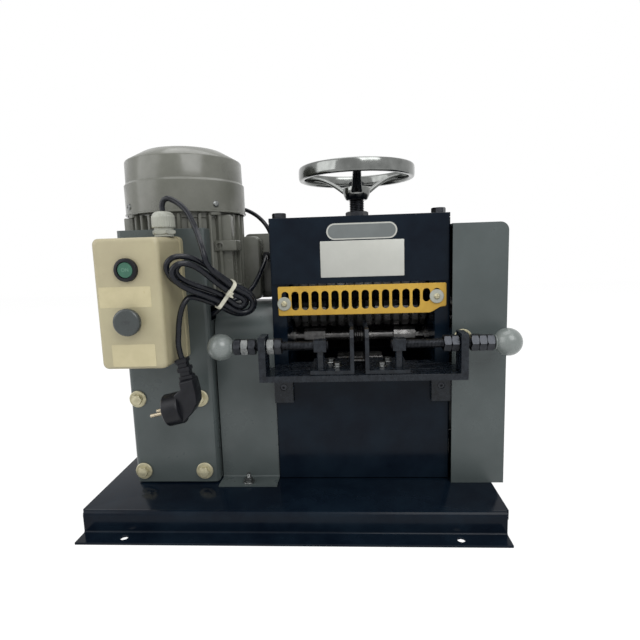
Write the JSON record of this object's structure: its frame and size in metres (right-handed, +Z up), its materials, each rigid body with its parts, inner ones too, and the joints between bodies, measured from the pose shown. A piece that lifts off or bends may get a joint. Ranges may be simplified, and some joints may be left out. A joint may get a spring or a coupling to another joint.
{
  "type": "electric wire stripping machine",
  "caption": "Bench machine that strips cable: an upright motor and gearbox turn geared rollers in a boxed head with a handwheel, slotted feed plate and guides.",
  "frame": {"origin": "middle of the machine's footprint, on the surface that the base stands on", "axes": "+X to the operator's right, +Y to the rear, +Z up"},
  "size_m": [0.5688, 0.38, 0.5076],
  "materials": {
    "black_paint": "gloss black enamel",
    "grey_paint": "dark grey paint",
    "motor_paint": "grey motor paint",
    "yellow_paint": "yellow paint",
    "steel": "machined",
    "dark_steel": "blackened",
    "zinc_steel": "yellow zinc plated",
    "chrome": "polished chrome plate",
    "box_plastic": "moulded",
    "gland_plastic": "moulded",
    "black_plastic": "moulded",
    "green_plastic": "moulded",
    "stop_plastic": "moulded",
    "grey_bakelite": "moulded",
    "cord_jacket": "flexible jacket"
  },
  "bodies": {
    "frame": {"base_plate": "black_paint", "motor_bracket": "grey_paint", "gearbox_housing": "black_paint", "bracket_bolt_1": "zinc_steel", "bracket_bolt_2": "zinc_steel", "bracket_bolt_3": "zinc_steel", "bracket_bolt_4": "zinc_steel", "motor_housing": "motor_paint", "fan_cover": "motor_paint", "terminal_box": "motor_paint", "terminal_gland": "black_plastic", "motor_lead": "cord_jacket", "rear_lead": "cord_jacket", "starter_box": "box_plastic", "starter_cover": "box_plastic", "on_button_bezel": "black_plastic", "starter_gland": "gland_plastic", "power_cord_lead": "cord_jacket", "power_cord_hank": "cord_jacket", "power_cord_tail": "cord_jacket", "power_plug": "black_plastic", "left_side_plate": "black_paint", "right_side_plate": "black_paint", "top_plate": "black_paint", "top_bolt_left": "dark_steel", "top_bolt_right": "dark_steel", "head_front_cover": "black_paint", "head_rear_cover": "black_paint", "lower_front_panel": "black_paint", "slot_plate": "yellow_paint", "coupling_cover": "grey_paint", "gear_cover": "grey_paint", "gear_cover_bolt": "zinc_steel", "screw_bush": "dark_steel", "guide_table": "black_paint"},
    "rotor": {"motor_rotor": "steel", "cooling_fan": "black_plastic"},
    "start_button": {"on_button": "green_plastic"},
    "stop_button": {"off_button": "stop_plastic"},
    "feed_roller": {"drive_coupling": "dark_steel", "feed_shaft": "steel", "feed_gear": "dark_steel"},
    "slitting_roller": {"slitting_shaft": "steel", "slitting_blades": "steel", "slitting_gear": "dark_steel"},
    "grooved_roller": {"grooved_shaft": "steel", "grooved_gear": "dark_steel"},
    "cutter_roller": {"cutter_shaft": "steel", "cutter_blades": "steel", "cutter_gear": "dark_steel"},
    "carriage": {"roller_carriage": "dark_steel"},
    "wheel_screw": {"adjusting_screw": "dark_steel", "handwheel": "chrome"},
    "left_guide": {"left_guide": "black_paint"},
    "left_screw": {"left_lead_screw": "dark_steel", "left_ball_knob": "grey_bakelite"},
    "right_guide": {"right_guide": "black_paint"},
    "right_screw": {"right_lead_screw": "dark_steel", "right_ball_knob": "grey_bakelite"}
  },
  "joints": [
    {"name": "rotor_spin", "type": "hinge", "parent": "frame", "child": "rotor", "pos_m": [-0.1734, 0.005, 0.35], "axis": [0, 0, 1], "continuous": true},
    {"name": "feed_spin", "type": "hinge", "parent": "frame", "child": "feed_roller", "pos_m": [0.0846, 0.005, 0.172], "axis": [1, 0, 0], "continuous": true},
    {"name": "slitting_spin", "type": "hinge", "parent": "frame", "child": "slitting_roller", "pos_m": [0.0846, 0.005, 0.226], "axis": [1, 0, 0], "continuous": true},
    {"name": "grooved_spin", "type": "hinge", "parent": "frame", "child": "grooved_roller", "pos_m": [0.0846, 0.005, 0.262], "axis": [1, 0, 0], "continuous": true},
    {"name": "cutter_spin", "type": "hinge", "parent": "carriage", "child": "cutter_roller", "pos_m": [0.0846, 0.005, 0.316], "axis": [1, 0, 0], "continuous": true},
    {"name": "carriage_lift", "type": "slide", "parent": "frame", "child": "carriage", "axis": [0, 0, 1], "range_m": [0, 0.004]},
    {"name": "wheel_turn", "type": "hinge", "parent": "carriage", "child": "wheel_screw", "pos_m": [0.0846, 0.005, 0.43], "axis": [0, 0, 1], "range_deg": [0, 478]},
    {"name": "start_press", "type": "slide", "parent": "frame", "child": "start_button", "axis": [0, 1, 0], "range_m": [0, 0.004], "stiffness_N_per_m": 300},
    {"name": "stop_press", "type": "slide", "parent": "frame", "child": "stop_button", "axis": [0, 1, 0], "range_m": [0, 0.006], "stiffness_N_per_m": 400},
    {"name": "left_guide_slide", "type": "slide", "parent": "frame", "child": "left_guide", "axis": [-1, 0, 0], "range_m": [-0.006, 0.025]},
    {"name": "left_screw_turn", "type": "hinge", "parent": "frame", "child": "left_screw", "pos_m": [-0.0464, -0.1253, 0.2363], "axis": [-1, 0, 0], "range_deg": [-1240, 5150]},
    {"name": "right_guide_slide", "type": "slide", "parent": "frame", "child": "right_guide", "axis": [1, 0, 0], "range_m": [-0.006, 0.025]},
    {"name": "right_screw_turn", "type": "hinge", "parent": "frame", "child": "right_screw", "pos_m": [0.2156, -0.1253, 0.2363], "axis": [1, 0, 0], "range_deg": [-1240, 5150]}
  ],
  "couplings": [
    {"joint": "feed_spin", "follows": "rotor_spin", "ratio": 0.066667},
    {"joint": "slitting_spin", "follows": "rotor_spin", "ratio": -0.083333},
    {"joint": "grooved_spin", "follows": "rotor_spin", "ratio": 0.083333},
    {"joint": "cutter_spin", "follows": "rotor_spin", "ratio": -0.083333},
    {"joint": "carriage_lift", "follows": "wheel_turn", "m_per_rad": 0.00047746},
    {"joint": "left_screw_turn", "follows": "left_guide_slide", "rad_per_m": 3590.4},
    {"joint": "right_screw_turn", "follows": "right_guide_slide", "rad_per_m": 3590.4}
  ]
}
